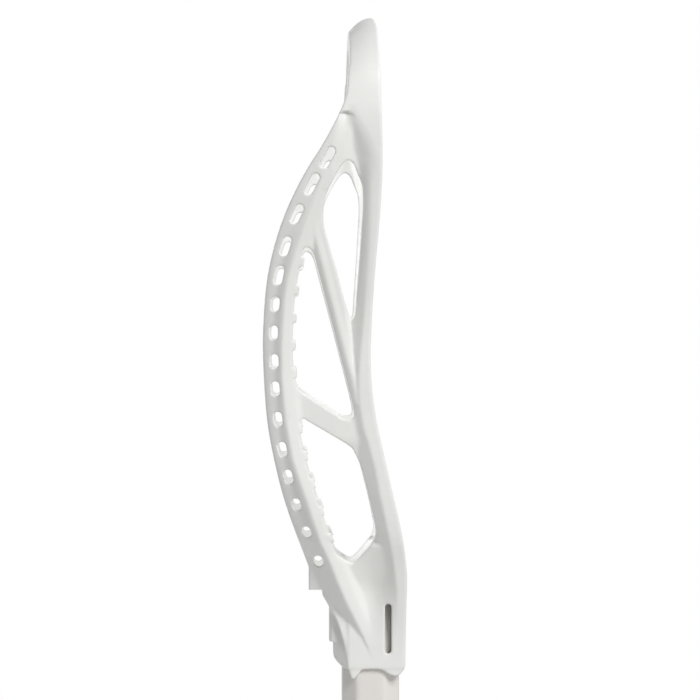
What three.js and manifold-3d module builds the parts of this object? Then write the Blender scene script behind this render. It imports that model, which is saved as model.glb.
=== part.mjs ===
// A field lacrosse stick for a short-stick player, ready for stringing: a moulded
// nylon head with its foam ball stop, held by one screw on an octagonal alloy
// shaft that is closed by a rubber end cap.
//
// Millimetres, +Z along the shaft towards the head, origin at the middle of the
// end cap's flat bottom. X runs across the stick, which is mirror-symmetric about
// X = 0. The open face of the head looks towards -Y, and the pocket side is +Y.
// Outlines of the head are written as [height above the lower lip, Y] in a side
// view, and as [half width, height above the lower lip] in a front view.

import * as THREE from 'three';
import { mergeVertices } from 'three/addons/utils/BufferGeometryUtils.js';
import Module from 'manifold-3d';

const wasm = await Module();
wasm.setup();

// ---- driving dimensions ----
const GAP = 0.3;
const SHAFT_LENGTH = 762;
const SHAFT_WIDTH = 25.4;
const SHAFT_DEPTH = 28.4;
const SHAFT_CHAMFER = 7.4;
const SHAFT_WALL = 1.5;
const SHAFT_INSERTION = 45.5;

const CAP_FLOOR = 4;
const CAP_WALL = 2;
const CAP_SLEEVE_TOP = 42;
const CAP_KNOB_RADIUS = 19.5;
const CAP_KNOB_HEIGHT = 13;
const CAP_FOOT_RADIUS = 16;
const CAP_KNOB_ROUND = 4.5;

const PLATE_HALF_WIDTH = 14.8;
const SOCKET = { halfWidth: 15.4, front: -16.5, back: 18.5, chamfer: 7.6, low: 5, high: 49 };
const BOSS = { halfWidth: 9.5, front: 0, back: 20.5, chamfer: 1.5, low: 18, high: 46 };
const STOP_RADIUS = 33;
const STOP_FLOOR = 49.5;
const STOP_PAD = 2.5;
const STOP_PAD_HALF_WIDTH = 11;
const STOP_PAD_DEPTH = 30;
const STOP_PAD_MIDDLE = 3;
const SCOOP_FRONT = -5;
const SCOOP_TIP = 0;
const SCOOP_BACK = 12;
const SCOOP_CROWN = 2;

const SCREW_HEIGHT = 27;
const SCREW_SHANK_RADIUS = 2.4;
const SCREW_HEAD_RADIUS = 4.6;
const SCREW_HEAD_DEPTH = 2.6;
const SCREW_LENGTH = 22;
const SCREW_POINT = 4;
const SCREW_SINK = 0.6;
const RECESS = { length: 4.4, width: 1, depth: 1 };

const SHAFT_BOTTOM = CAP_FLOOR + GAP;
const SHAFT_TOP = SHAFT_BOTTOM + SHAFT_LENGTH;
const HEAD_LIP = SHAFT_TOP - SHAFT_INSERTION;
const FAR = 110;
const WALLS_FROM = 12;

// ---- side view of the head: [height, Y] ----
const BACK_EDGE = [
  [44, 30.6], [55.6, 30.6], [61.6, 32.8], [78.1, 38.9], [93.1, 43.7], [109.1, 47.5],
  [124.2, 50.3], [140.2, 51.9], [165.2, 52.9], [187.3, 51.8], [201.8, 49.8], [217.3, 45.8],
  [232.4, 40], [247.4, 32.2], [259.5, 24.5], [270, 18.6], [277, 15.3], [284, 12.8],
  [300, 11.3], [330, 11.2],
];
const FRONT_EDGE = [
  [330, -0.6], [322.3, -1.9], [312.4, -2.8], [285.5, -3.6], [252.4, -4.4], [228.4, -3.5],
  [194.3, -0.8], [165.2, 0.6], [148.2, 0.3], [130.2, -1.9], [100.1, -8.5], [74.1, -14.5],
  [56.1, -17.2], [46.1, -17.6], [38, -17.4], [7, -17],
];
const LIP_EDGE = [
  [4.4, -16.2], [1.4, -11.8], [4.4, -5.9], [6.6, -0.8], [6.4, 1.6], [0, 8.2], [0, 9.4],
  [7.4, 11.4], [23.1, 14.9], [34.4, 19.8], [44, 24.1],
];

// ---- front view of the head: [half width, height] ----
const OUTER_SIDE = [
  [PLATE_HALF_WIDTH, 0], [15.4, 12], [17.6, 25], [21.6, 38], [27.8, 56], [34.5, 71], [38.2, 88],
  [39.8, 102], [42.5, 130], [49.5, 170], [58, 200], [68, 228], [77, 252],
];
const OUTER_SCOOP_FRONT = [
  [82, 270], [83, 283], [80.3, 295.5], [70.4, 306.5], [55, 315], [36, 321], [18, 324.8], [0, 326.4],
];
const OUTER_SCOOP_BACK = [
  [81.9, 269.8], [82.7, 282], [79.6, 293.8], [69.6, 304], [54.4, 311.2], [35.5, 314.4],
  [17.5, 316.6], [0, 317.8],
];
const INNER_SIDE = [
  [STOP_RADIUS, STOP_FLOOR + STOP_RADIUS], [33.6, 102], [36.6, 130], [43.4, 170], [51.8, 200],
  [61.8, 228], [70.2, 250],
];
const INNER_SCOOP_FRONT = [
  [75.4, 266], [77.6, 280], [75.6, 290.5], [67.4, 301.5], [51.4, 310.5], [28, 317.8], [0, 322],
];
const INNER_SCOOP_BACK = [
  [73.6, 262], [75, 271], [71.8, 282], [63, 292], [48, 300], [27, 306.4], [0, 309],
];

// ---- openings in the side walls: [height, Y] ----
const UPPER_WINDOW = [
  [252.8, 12], [251, 9.3], [246.5, 7.4], [241.8, 5.5], [231, 4.9], [221, 5.5], [192, 7.5],
  [182, 8.1], [177.4, 9.4], [181.8, 12], [200.8, 17.2], [219.8, 22.8], [225, 23.6], [230, 23.5],
  [235, 22.7], [240, 20.9], [246.6, 17.5],
];
const MIDDLE_WINDOW = [
  [208, 34], [211, 33], [211.8, 31.4], [207.6, 28], [197.4, 25.3], [177.9, 20.1], [156.6, 14.6],
  [138.4, 10], [132.5, 8.8], [129.6, 9.1], [128.6, 11], [129.2, 14.3], [136.4, 25.6], [143.4, 35.6],
  [147, 37.4],
];
const LOWER_WINDOW = [
  [124, 35.3], [128, 34.8], [129, 33], [127.9, 31.2], [115.7, 10.9], [112.2, 8.2], [96, 2.6],
  [78.1, -1.4], [74.1, -2], [69, -0.8], [65.4, 1.9], [59.3, 7.4], [58.1, 9.6], [61.3, 15.6],
  [63, 17.2], [66, 18.4],
];
const RAIL_INNER_EDGE = [
  [212, 32.4], [207, 34], [200, 35.7], [190, 37.2], [178, 38.2], [164, 38.6], [151, 38],
  [140, 36.8], [128, 35.6], [119.7, 34.8], [107.6, 32.1], [97.5, 29.3], [84, 25], [77.7, 22.9],
  [66, 18.4],
];
const MIDDLE_RAIL_SPAN = { high: 207, low: 149 };
const LOWER_RAIL_SPAN = { high: 123, low: 67 };
const THROAT_SLOT = { middle: 25, y: -8.5, length: 24.8, width: 3.2 };

// String holes down each back rail: [height, Y, length, width, tilt from +Z in degrees].
const STRING_HOLES = [
  [254, 21.6, 11, 4, 28], [241.5, 29.1, 11, 4, 28], [227.5, 36.2, 9.8, 4, 25],
  [212.2, 41.7, 9.6, 4, 17], [198.4, 44.9, 9.4, 4, 11], [184.6, 46.7, 7.2, 4, 5],
  [170.8, 47.5, 6.9, 4, 1], [156.8, 47.2, 7.1, 4, -2], [143.5, 46.7, 7.2, 4, -4],
  [128.7, 45.4, 7.2, 4, -7], [114, 43.3, 7.4, 4, -11], [100.7, 40.4, 7, 4, -15],
  [87, 36.5, 6, 4, -18], [73.4, 31.6, 5.6, 4.2, -21], [58.8, 25.8, 5.6, 4.6, -22],
];
// Lands between the string notches, evenly spaced up the rail's inner edge.
const LANDS = { first: 70.7, pitch: 13.4, count: 11, length: 4.8, height: 1.6 };
const SCOOP_SLOTS = { count: 5, spacing: 14, length: 5, width: 2.6, y: 8.2, low: 285, high: 335 };

// ---- materials ----
const WHITE_NYLON = new THREE.MeshStandardMaterial({ color: 0xe9e9e5, roughness: 0.5, metalness: 0 });
const GREY_FOAM = new THREE.MeshStandardMaterial({ color: 0x3c3d40, roughness: 0.95, metalness: 0 });
const ZINC_STEEL = new THREE.MeshStandardMaterial({ color: 0xb4b6ba, roughness: 0.35, metalness: 1 });
const CREAM_ENAMEL = new THREE.MeshStandardMaterial({ color: 0xe6e1d8, roughness: 0.4, metalness: 0.1 });
const BLACK_RUBBER = new THREE.MeshStandardMaterial({ color: 0x232325, roughness: 0.85, metalness: 0 });

// ---- solids ----

// Turns a closed geometry into a solid that can be joined and cut.
function solid(geometry) {
  const bare = geometry.clone();
  bare.deleteAttribute('normal');
  bare.deleteAttribute('uv');
  const merged = mergeVertices(bare, 1e-4);
  return new wasm.Manifold(new wasm.Mesh({
    numProp: 3,
    vertProperties: new Float32Array(merged.attributes.position.array),
    triVerts: new Uint32Array(merged.index.array),
  }));
}

// Turns a solid back into a geometry with flat-shaded faces.
function geometryOf(part) {
  const mesh = part.getMesh();
  const geometry = new THREE.BufferGeometry();
  geometry.setAttribute('position', new THREE.BufferAttribute(new Float32Array(mesh.vertProperties), 3));
  geometry.setIndex(new THREE.BufferAttribute(new Uint32Array(mesh.triVerts), 1));
  geometry.computeVertexNormals();
  return geometry;
}

// Joins a list of solids into one.
function joined(parts) {
  return parts.reduce((whole, part) => whole.add(part));
}

// Evenly spread points of a smooth curve through the given 2-D points.
function smooth(points, perSpan) {
  const curve = new THREE.SplineCurve(points.map(([a, b]) => new THREE.Vector2(a, b)));
  return curve.getPoints((points.length - 1) * perSpan);
}

function toPairs(points) {
  return points.map((point) => [point.x, point.y]);
}

// Prism of a side-view outline of [height, Y] pairs, from x0 to x1.
function sidePrism(outline, x0, x1) {
  const shape = new THREE.Shape(outline.map(([height, y]) => new THREE.Vector2(y, height)));
  const geometry = new THREE.ExtrudeGeometry(shape, { depth: x1 - x0, bevelEnabled: false });
  geometry.applyMatrix4(new THREE.Matrix4().set(0, 0, 1, x0, 1, 0, 0, 0, 0, 1, 0, 0, 0, 0, 0, 1));
  return solid(geometry);
}

// The same prism through both walls, clear of the middle of the head.
function wallCutter(outline) {
  return sidePrism(outline, -FAR, -WALLS_FROM).add(sidePrism(outline, WALLS_FROM, FAR));
}

// Prism of a front-view outline of [x, height] pairs, from y0 to y1.
function frontPrism(outline, y0, y1) {
  const shape = new THREE.Shape(outline.map(([x, height]) => new THREE.Vector2(x, height)));
  const geometry = new THREE.ExtrudeGeometry(shape, { depth: y1 - y0, bevelEnabled: false });
  geometry.applyMatrix4(new THREE.Matrix4().set(1, 0, 0, 0, 0, 0, -1, y1, 0, 1, 0, 0, 0, 0, 0, 1));
  return solid(geometry);
}

// Solid through a row of front-view rings with equal point counts, each at its own Y.
function loftAlongY(rings) {
  const count = rings[0].outline.length;
  const positions = [];
  for (const ring of rings) {
    for (const [x, height] of ring.outline) positions.push(x, ring.y, height);
  }
  const index = [];
  for (let r = 0; r < rings.length - 1; r += 1) {
    for (let i = 0; i < count; i += 1) {
      const a = r * count + i;
      const b = r * count + ((i + 1) % count);
      index.push(a, a + count, b, b, a + count, b + count);
    }
  }
  const last = (rings.length - 1) * count;
  const flat = rings[0].outline.map(([x, height]) => new THREE.Vector2(x, height));
  const flatLast = rings[rings.length - 1].outline.map(([x, height]) => new THREE.Vector2(x, height));
  for (const [a, b, c] of THREE.ShapeUtils.triangulateShape(flat, [])) index.push(a, b, c);
  for (const [a, b, c] of THREE.ShapeUtils.triangulateShape(flatLast, [])) {
    index.push(last + a, last + c, last + b);
  }
  const geometry = new THREE.BufferGeometry();
  geometry.setAttribute('position', new THREE.Float32BufferAttribute(positions, 3));
  geometry.setIndex(index);
  return solid(geometry);
}

// Corners of a rectangle with 45 degree chamfers.
function octagon(halfX, y0, y1, chamfer) {
  return [
    [halfX, y0 + chamfer], [halfX, y1 - chamfer], [halfX - chamfer, y1], [chamfer - halfX, y1],
    [-halfX, y1 - chamfer], [-halfX, y0 + chamfer], [chamfer - halfX, y0], [halfX - chamfer, y0],
  ];
}

// Upright prism of an [x, y] outline between two heights.
function uprightPrism(outline, z0, z1) {
  const shape = new THREE.Shape(outline.map(([x, y]) => new THREE.Vector2(x, y)));
  const geometry = new THREE.ExtrudeGeometry(shape, { depth: z1 - z0, bevelEnabled: false });
  return solid(geometry.translate(0, 0, z0));
}

// Shaft section grown outwards by a margin on every side; a 45 degree chamfer grows less.
function shaftSection(margin) {
  const halfY = SHAFT_DEPTH / 2 + margin;
  const chamfer = SHAFT_CHAMFER + margin * (2 - Math.SQRT2);
  return octagon(SHAFT_WIDTH / 2 + margin, -halfY, halfY, chamfer);
}

// Solid of revolution about +Z from an [radius, z] profile that starts and ends on the axis.
function turned(profile, segments) {
  const points = profile.map(([radius, z]) => new THREE.Vector2(radius, z));
  return new THREE.LatheGeometry(points, segments).rotateX(Math.PI / 2);
}

// ---- head ----

// Closes a right-hand half outline with its mirror image.
function mirrored(half) {
  const left = half.filter(([x]) => x > 0).map(([x, height]) => [-x, height]).reverse();
  return half.concat(left);
}

function outerOutline(scoop) {
  return mirrored([[0, 0]].concat(toPairs(smooth(OUTER_SIDE.concat(scoop), 2))));
}

function sideOutline() {
  const back = toPairs(smooth(BACK_EDGE.slice(1), 2));
  const front = toPairs(smooth(FRONT_EDGE, 2));
  return LIP_EDGE.concat([BACK_EDGE[0]], back, front);
}

// The open middle of the head: a round seat for the ball, then the inner wall line.
function openingOutline(scoop) {
  const seatCentre = STOP_FLOOR + STOP_RADIUS;
  const seat = [];
  const steps = 9;
  for (let i = 0; i < steps; i += 1) {
    const angle = (i / steps) * (Math.PI / 2);
    seat.push([STOP_RADIUS * Math.sin(angle), seatCentre - STOP_RADIUS * Math.cos(angle)]);
  }
  return mirrored(seat.concat(toPairs(smooth(INNER_SIDE.concat(scoop), 2))));
}

// Outline part of the way from one to another that has the same number of points.
function between(from, to, part) {
  return from.map(([x, height], i) => [
    x + (to[i][0] - x) * part,
    height + (to[i][1] - height) * part,
  ]);
}

// The hoop's outside, whose scoop curves down from its tip to its back edge.
function outerBody() {
  const front = outerOutline(OUTER_SCOOP_FRONT);
  const back = outerOutline(OUTER_SCOOP_BACK);
  const rings = [{ y: -FAR, outline: front }];
  const steps = 4;
  for (let i = 0; i <= steps; i += 1) {
    const part = i / steps;
    const y = SCOOP_TIP + (SCOOP_BACK - SCOOP_TIP) * part;
    rings.push({ y, outline: between(front, back, part ** SCOOP_CROWN) });
  }
  rings.push({ y: FAR, outline: back });
  return loftAlongY(rings);
}

function openingCutter() {
  const front = openingOutline(INNER_SCOOP_FRONT);
  const back = openingOutline(INNER_SCOOP_BACK);
  return loftAlongY([
    { y: -FAR, outline: front },
    { y: SCOOP_FRONT, outline: front },
    { y: SCOOP_BACK, outline: back },
    { y: FAR, outline: back },
  ]);
}

// A slot with round ends, centred on a point of the side view and tilted in it.
function slotOutline(height, y, length, width, tiltDegrees) {
  const tilt = THREE.MathUtils.degToRad(tiltDegrees);
  const radius = width / 2;
  const reach = (length - width) / 2;
  const points = [];
  const steps = 10;
  for (let i = 0; i < steps; i += 1) {
    const angle = ((i + 0.5) / steps) * 2 * Math.PI;
    const along = radius * Math.cos(angle) + Math.sign(Math.cos(angle)) * reach;
    const across = radius * Math.sin(angle);
    points.push([
      height + along * Math.cos(tilt) + across * Math.sin(tilt),
      y - along * Math.sin(tilt) + across * Math.cos(tilt),
    ]);
  }
  return points;
}

// Y of the back rail's inner edge at a height.
function railInnerY(height) {
  const points = RAIL_INNER_EDGE;
  const i = points.findIndex(([h]) => h <= height);
  const [h0, y0] = points[i - 1];
  const [h1, y1] = points[i];
  return y0 + ((height - h0) / (h1 - h0)) * (y1 - y0);
}

// The rail's inner edge between two heights, going down.
function railEdgeBetween(high, low) {
  const inside = RAIL_INNER_EDGE.filter(([h]) => h < high && h > low);
  return [[high, railInnerY(high)]].concat(inside, [[low, railInnerY(low)]]);
}

// The three side openings, with the lands left standing in the two lower ones.
function windowCutters() {
  const middle = MIDDLE_RAIL_SPAN;
  const lower = LOWER_RAIL_SPAN;
  const outlines = [
    UPPER_WINDOW,
    MIDDLE_WINDOW.concat(railEdgeBetween(middle.high, middle.low).reverse()),
    LOWER_WINDOW.concat(railEdgeBetween(lower.high, lower.low).reverse()),
  ];
  return joined(outlines.map(wallCutter)).subtract(lands());
}

function lands() {
  const blocks = [];
  for (let i = 0; i < LANDS.count; i += 1) {
    const low = LANDS.first + i * LANDS.pitch - LANDS.length / 2;
    const high = low + LANDS.length;
    blocks.push(wallCutter([
      [low, railInnerY(low) - LANDS.height], [low, railInnerY(low) + LANDS.height],
      [high, railInnerY(high) + LANDS.height], [high, railInnerY(high) - LANDS.height],
    ]));
  }
  return joined(blocks);
}

function stringHoleCutters() {
  return STRING_HOLES.map((hole) => wallCutter(slotOutline(...hole)));
}

// Slots for the top of the pocket, up through the thick back part of the scoop.
function scoopSlotCutters() {
  const cutters = [];
  for (let i = 0; i < SCOOP_SLOTS.count; i += 1) {
    const x = (i - (SCOOP_SLOTS.count - 1) / 2) * SCOOP_SLOTS.spacing;
    const halfX = SCOOP_SLOTS.length / 2;
    const y0 = SCOOP_SLOTS.y - SCOOP_SLOTS.width / 2;
    const y1 = SCOOP_SLOTS.y + SCOOP_SLOTS.width / 2;
    const outline = [[x - halfX, y0], [x + halfX, y0], [x + halfX, y1], [x - halfX, y1]];
    cutters.push(uprightPrism(outline, SCOOP_SLOTS.low, SCOOP_SLOTS.high));
  }
  return cutters;
}

function throatSlotCutter() {
  const { middle, y, length, width } = THROAT_SLOT;
  return wallCutter(slotOutline(middle, y, length, width, 0));
}

// Upright block with its two back corners cut at 45 degrees.
function chamferedBlock({ halfWidth, front, back, chamfer, low, high }) {
  const outline = [
    [halfWidth, front], [halfWidth, back - chamfer], [halfWidth - chamfer, back],
    [chamfer - halfWidth, back], [-halfWidth, back - chamfer], [-halfWidth, front],
  ];
  return uprightPrism(outline, low, high);
}

// Bore along Y for the screw, from the back of the boss into the shaft cavity.
function screwBore() {
  const bore = (radius, from, to) => {
    const cylinder = new THREE.CylinderGeometry(radius + GAP, radius + GAP, to - from, 24);
    return solid(cylinder.translate(0, (from + to) / 2, SCREW_HEIGHT));
  };
  const seat = BOSS.back - SCREW_SINK - SCREW_HEAD_DEPTH - GAP;
  const shank = bore(SCREW_SHANK_RADIUS, 0, BOSS.back);
  return shank.add(bore(SCREW_HEAD_RADIUS, seat, FAR));
}

function makeHead() {
  const hoop = outerBody().intersect(sidePrism(sideOutline(), -FAR, FAR)).subtract(openingCutter());
  const body = joined([hoop, chamferedBlock(SOCKET), chamferedBlock(BOSS)]);
  const cavity = uprightPrism(shaftSection(GAP), -10, SHAFT_INSERTION + GAP);
  const cuts = [cavity, screwBore(), throatSlotCutter(), windowCutters()]
    .concat(stringHoleCutters(), scoopSlotCutters());
  return body.subtract(joined(cuts));
}

// ---- ball stop ----

// Foam pad bedded on the round floor of the throat.
function makeBallStop() {
  const centre = STOP_FLOOR + STOP_RADIUS;
  const outer = STOP_RADIUS - GAP;
  const inner = outer - STOP_PAD;
  const halfAngle = Math.asin(STOP_PAD_HALF_WIDTH / outer);
  const arc = (radius, from, to) => {
    const points = [];
    const steps = 14;
    for (let i = 0; i <= steps; i += 1) {
      const angle = from + ((to - from) * i) / steps;
      points.push([radius * Math.sin(angle), centre - radius * Math.cos(angle)]);
    }
    return points;
  };
  const outline = arc(outer, -halfAngle, halfAngle).concat(arc(inner, halfAngle * 0.96, -halfAngle * 0.96));
  const front = STOP_PAD_MIDDLE - STOP_PAD_DEPTH / 2;
  return frontPrism(outline, front, front + STOP_PAD_DEPTH);
}

// ---- screw ----

// Pan-head screw lying along -Y, with a pointed thread and a cross recess in its head.
function makeScrew() {
  const tip = -SCREW_LENGTH;
  const crown = SCREW_HEAD_RADIUS * 0.52;
  const shoulder = SCREW_HEAD_RADIUS * 0.85;
  const dome = [
    [0, SCREW_HEAD_DEPTH], [crown, SCREW_HEAD_DEPTH], [shoulder, SCREW_HEAD_DEPTH * 0.8],
    [SCREW_HEAD_RADIUS, SCREW_HEAD_DEPTH * 0.4],
  ];
  const shank = [
    [SCREW_HEAD_RADIUS, 0], [SCREW_SHANK_RADIUS, 0], [SCREW_SHANK_RADIUS, tip + SCREW_POINT], [0, tip],
  ];
  const profile = dome.concat(shank).reverse();
  const body = solid(turned(profile, 24));
  const arm = new THREE.BoxGeometry(RECESS.length, RECESS.width, RECESS.depth * 2);
  const recess = solid(arm.clone().translate(0, 0, SCREW_HEAD_DEPTH))
    .add(solid(arm.clone().rotateZ(Math.PI / 2).translate(0, 0, SCREW_HEAD_DEPTH)));
  return geometryOf(body.subtract(recess)).rotateX(-Math.PI / 2);
}

// ---- shaft ----

function makeShaft() {
  const tube = uprightPrism(shaftSection(0), 0, SHAFT_LENGTH);
  const hollow = uprightPrism(shaftSection(-SHAFT_WALL), -1, SHAFT_LENGTH + 1);
  const hole = new THREE.CylinderGeometry(SCREW_SHANK_RADIUS + GAP, SCREW_SHANK_RADIUS + GAP, 8, 20);
  const holeHeight = HEAD_LIP + SCREW_HEIGHT - SHAFT_BOTTOM;
  hole.translate(0, SHAFT_DEPTH / 2, holeHeight);
  return tube.subtract(hollow).subtract(solid(hole));
}

// ---- end cap ----

// Rubber cap: a sleeve over the shaft that swells into a round knob at the butt.
function makeEndCap() {
  const sleeve = uprightPrism(shaftSection(GAP + CAP_WALL), 1, CAP_SLEEVE_TOP);
  const knob = solid(turned([
    [0, 0], [CAP_FOOT_RADIUS, 0], [CAP_KNOB_RADIUS - 1, 1.6], [CAP_KNOB_RADIUS, CAP_KNOB_ROUND],
    [CAP_KNOB_RADIUS, CAP_KNOB_HEIGHT - CAP_KNOB_ROUND],
    [CAP_KNOB_RADIUS - 1, CAP_KNOB_HEIGHT - 1.6], [CAP_FOOT_RADIUS, CAP_KNOB_HEIGHT],
    [0, CAP_KNOB_HEIGHT],
  ], 48));
  const cavity = uprightPrism(shaftSection(GAP), CAP_FLOOR, CAP_SLEEVE_TOP + 1);
  return sleeve.add(knob).subtract(cavity);
}

// ---- assembly ----

function named(name, geometry, material) {
  const mesh = new THREE.Mesh(geometry, material);
  mesh.name = name;
  return mesh;
}

const stick = new THREE.Group();

const headGroup = new THREE.Group();
headGroup.position.z = HEAD_LIP;
headGroup.add(named('head', geometryOf(makeHead()), WHITE_NYLON));
headGroup.add(named('ball_stop', geometryOf(makeBallStop()), GREY_FOAM));

const screw = named('head_screw', makeScrew(), ZINC_STEEL);
screw.position.set(0, BOSS.back - SCREW_SINK - SCREW_HEAD_DEPTH, SCREW_HEIGHT);
headGroup.add(screw);
stick.add(headGroup);

const shaft = named('shaft', geometryOf(makeShaft()), CREAM_ENAMEL);
shaft.position.z = SHAFT_BOTTOM;
stick.add(shaft);
stick.add(named('end_cap', geometryOf(makeEndCap()), BLACK_RUBBER));

export default stick;
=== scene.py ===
"""Looks of an unstrung field lacrosse stick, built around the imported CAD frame.

The head is modelled as a signed distance field in millimetres and turned into a
mesh, so its rails, struts, windows and string holes run into each other with the
soft fillets of a moulding. x is the distance from the mid-plane, y runs towards
the pocket side, and height is counted from the head's lower lip.
"""

import math

import bmesh
import bpy
import numpy as np
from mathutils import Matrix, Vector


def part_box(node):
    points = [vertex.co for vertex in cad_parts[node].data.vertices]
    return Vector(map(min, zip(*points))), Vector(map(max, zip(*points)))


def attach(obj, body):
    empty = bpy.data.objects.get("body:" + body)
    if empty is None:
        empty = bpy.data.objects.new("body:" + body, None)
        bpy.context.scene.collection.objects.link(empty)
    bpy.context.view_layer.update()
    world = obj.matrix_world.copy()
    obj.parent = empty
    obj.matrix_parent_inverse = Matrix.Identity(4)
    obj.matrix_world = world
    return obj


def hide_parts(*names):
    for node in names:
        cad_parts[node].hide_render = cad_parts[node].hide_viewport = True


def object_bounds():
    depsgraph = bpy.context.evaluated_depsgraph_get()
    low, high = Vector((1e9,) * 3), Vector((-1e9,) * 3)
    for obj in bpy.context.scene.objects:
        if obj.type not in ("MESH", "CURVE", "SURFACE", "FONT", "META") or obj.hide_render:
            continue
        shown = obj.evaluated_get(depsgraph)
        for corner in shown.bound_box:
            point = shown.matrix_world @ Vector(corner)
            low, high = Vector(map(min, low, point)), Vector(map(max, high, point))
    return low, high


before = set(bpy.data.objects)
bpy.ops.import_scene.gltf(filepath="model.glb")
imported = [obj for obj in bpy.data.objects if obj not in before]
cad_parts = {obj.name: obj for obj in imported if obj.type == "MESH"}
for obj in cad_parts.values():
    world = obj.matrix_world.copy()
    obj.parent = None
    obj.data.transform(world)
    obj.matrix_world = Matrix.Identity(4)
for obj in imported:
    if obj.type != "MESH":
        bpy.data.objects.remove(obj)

import openvdb
from mathutils import Vector

MM = 0.001
CAD_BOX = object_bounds()
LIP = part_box("head")[0].z / MM

# ---------------------------------------------------------------- camera, light

CAMERA_DISTANCE = 1.75
CAMERA_Y = 0.033
CAMERA_HEIGHT = LIP * MM + 0.176
AIM_Y = 0.01007
AIM_HEIGHT = LIP * MM + 0.162
VIEW_WIDTH = 0.3472
FLOOR_RADIUS = 2.2
FLOOR_GAP = 0.0005


def add_camera():
    """Side-on camera on the -X side, level with the middle of the head."""
    data = bpy.data.cameras.new("camera")
    data.sensor_width = 36.0
    data.lens = data.sensor_width * CAMERA_DISTANCE / VIEW_WIDTH
    data.clip_end = 50.0
    camera = bpy.data.objects.new("camera", data)
    camera.location = (-CAMERA_DISTANCE, CAMERA_Y, CAMERA_HEIGHT)
    aim = Vector((0.0, AIM_Y, AIM_HEIGHT))
    camera.rotation_euler = (aim - camera.location).to_track_quat("-Z", "Y").to_euler()
    bpy.context.scene.collection.objects.link(camera)
    bpy.context.scene.camera = camera


def add_area_light(name, location, aim, size, power):
    """Square soft box that shines from one point at another."""
    data = bpy.data.lights.new(name, "AREA")
    data.shape = "SQUARE"
    data.size = size
    data.energy = power
    light = bpy.data.objects.new(name, data)
    light.location = location
    light.rotation_euler = (Vector(aim) - Vector(location)).to_track_quat("-Z", "Y").to_euler()
    bpy.context.scene.collection.objects.link(light)


def add_lights():
    """A large soft key above the camera, its weaker twin, and a rim light behind the stick."""
    centre = (0.0, 0.0, CAMERA_HEIGHT)
    add_area_light("key", (-1.75, -1.05, CAMERA_HEIGHT + 1.4), centre, 1.0, 44.0)
    add_area_light("far_key", (1.4, -1.2, CAMERA_HEIGHT + 1.3), centre, 1.2, 10.0)
    add_area_light("rim", (1.7, 1.5, CAMERA_HEIGHT + 0.4), centre, 1.0, 22.0)


def add_world():
    """White for the camera, and a dimmer even glow for everything the world lights."""
    world = bpy.data.worlds.new("studio")
    bpy.context.scene.world = world
    world.use_nodes = True
    nodes = world.node_tree.nodes
    links = world.node_tree.links
    nodes.clear()
    output = nodes.new("ShaderNodeOutputWorld")
    mix = nodes.new("ShaderNodeMixShader")
    path = nodes.new("ShaderNodeLightPath")
    glow = nodes.new("ShaderNodeBackground")
    glow.inputs["Color"].default_value = (0.97, 0.985, 1.0, 1.0)
    glow.inputs["Strength"].default_value = 0.34
    white = nodes.new("ShaderNodeBackground")
    white.inputs["Color"].default_value = (1.0, 1.0, 1.0, 1.0)
    links.new(path.outputs["Is Camera Ray"], mix.inputs["Fac"])
    links.new(glow.outputs["Background"], mix.inputs[1])
    links.new(white.outputs["Background"], mix.inputs[2])
    links.new(mix.outputs["Shader"], output.inputs["Surface"])


def add_floor():
    """Pale round floor that the butt of the stick stands on."""
    mesh = bpy.data.meshes.new("floor")
    shape = bmesh.new()
    bmesh.ops.create_circle(shape, cap_ends=True, segments=96, radius=FLOOR_RADIUS)
    shape.to_mesh(mesh)
    shape.free()
    floor = bpy.data.objects.new("floor", mesh)
    floor.location.z = CAD_BOX[0][2] - FLOOR_GAP
    bpy.context.scene.collection.objects.link(floor)
    material = bpy.data.materials.new("floor_paper")
    material.use_nodes = True
    shader = material.node_tree.nodes["Principled BSDF"]
    shader.inputs["Base Color"].default_value = (0.86, 0.86, 0.85, 1.0)
    shader.inputs["Roughness"].default_value = 0.9
    mesh.materials.append(material)


# ---------------------------------------------------------------- curves

def spline(points, per_span):
    """Points of a Catmull-Rom curve through 2-D points, as three.js draws it."""
    points = np.array(points, float)
    last = len(points) - 1
    out = []
    for i in range(last):
        p0, p1 = points[max(i - 1, 0)], points[i]
        p2, p3 = points[i + 1], points[min(i + 2, last)]
        v1, v2 = (p2 - p0) / 2, (p3 - p1) / 2
        for t in np.arange(per_span) / per_span:
            out.append(
                (2 * p1 - 2 * p2 + v1 + v2) * t**3
                + (-3 * p1 + 3 * p2 - 2 * v1 - v2) * t**2
                + v1 * t
                + p1
            )
    out.append(points[-1])
    return out


def closed_spline(points, per_span):
    """The same curve round a closed ring of points."""
    ring = list(points) + list(points[:3])
    curve = spline(ring, per_span)
    return curve[per_span : -per_span]


def swap(points):
    """Side outlines are written [height, y]; fields want (y, height)."""
    return [(b, a) for a, b in points]


def smax(a, b, k):
    """Greater of two distances, rounded over a width k where they meet."""
    h = np.clip(0.5 + 0.5 * (a - b) / k, 0.0, 1.0)
    return b + (a - b) * h + k * h * (1.0 - h)


def smin(a, b, k):
    """Lesser of two distances, rounded in the same way."""
    return -smax(-a, -b, k)


def smoothstep(value, low, high):
    """0 below low, 1 above high and an even S-curve between."""
    t = np.clip((value - low) / (high - low), 0.0, 1.0)
    return t * t * (3.0 - 2.0 * t)


def soft_positive(value, k):
    """max(value, 0) with its corner rounded over a width k."""
    return 0.5 * (value + np.sqrt(value * value + k * k))


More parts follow.
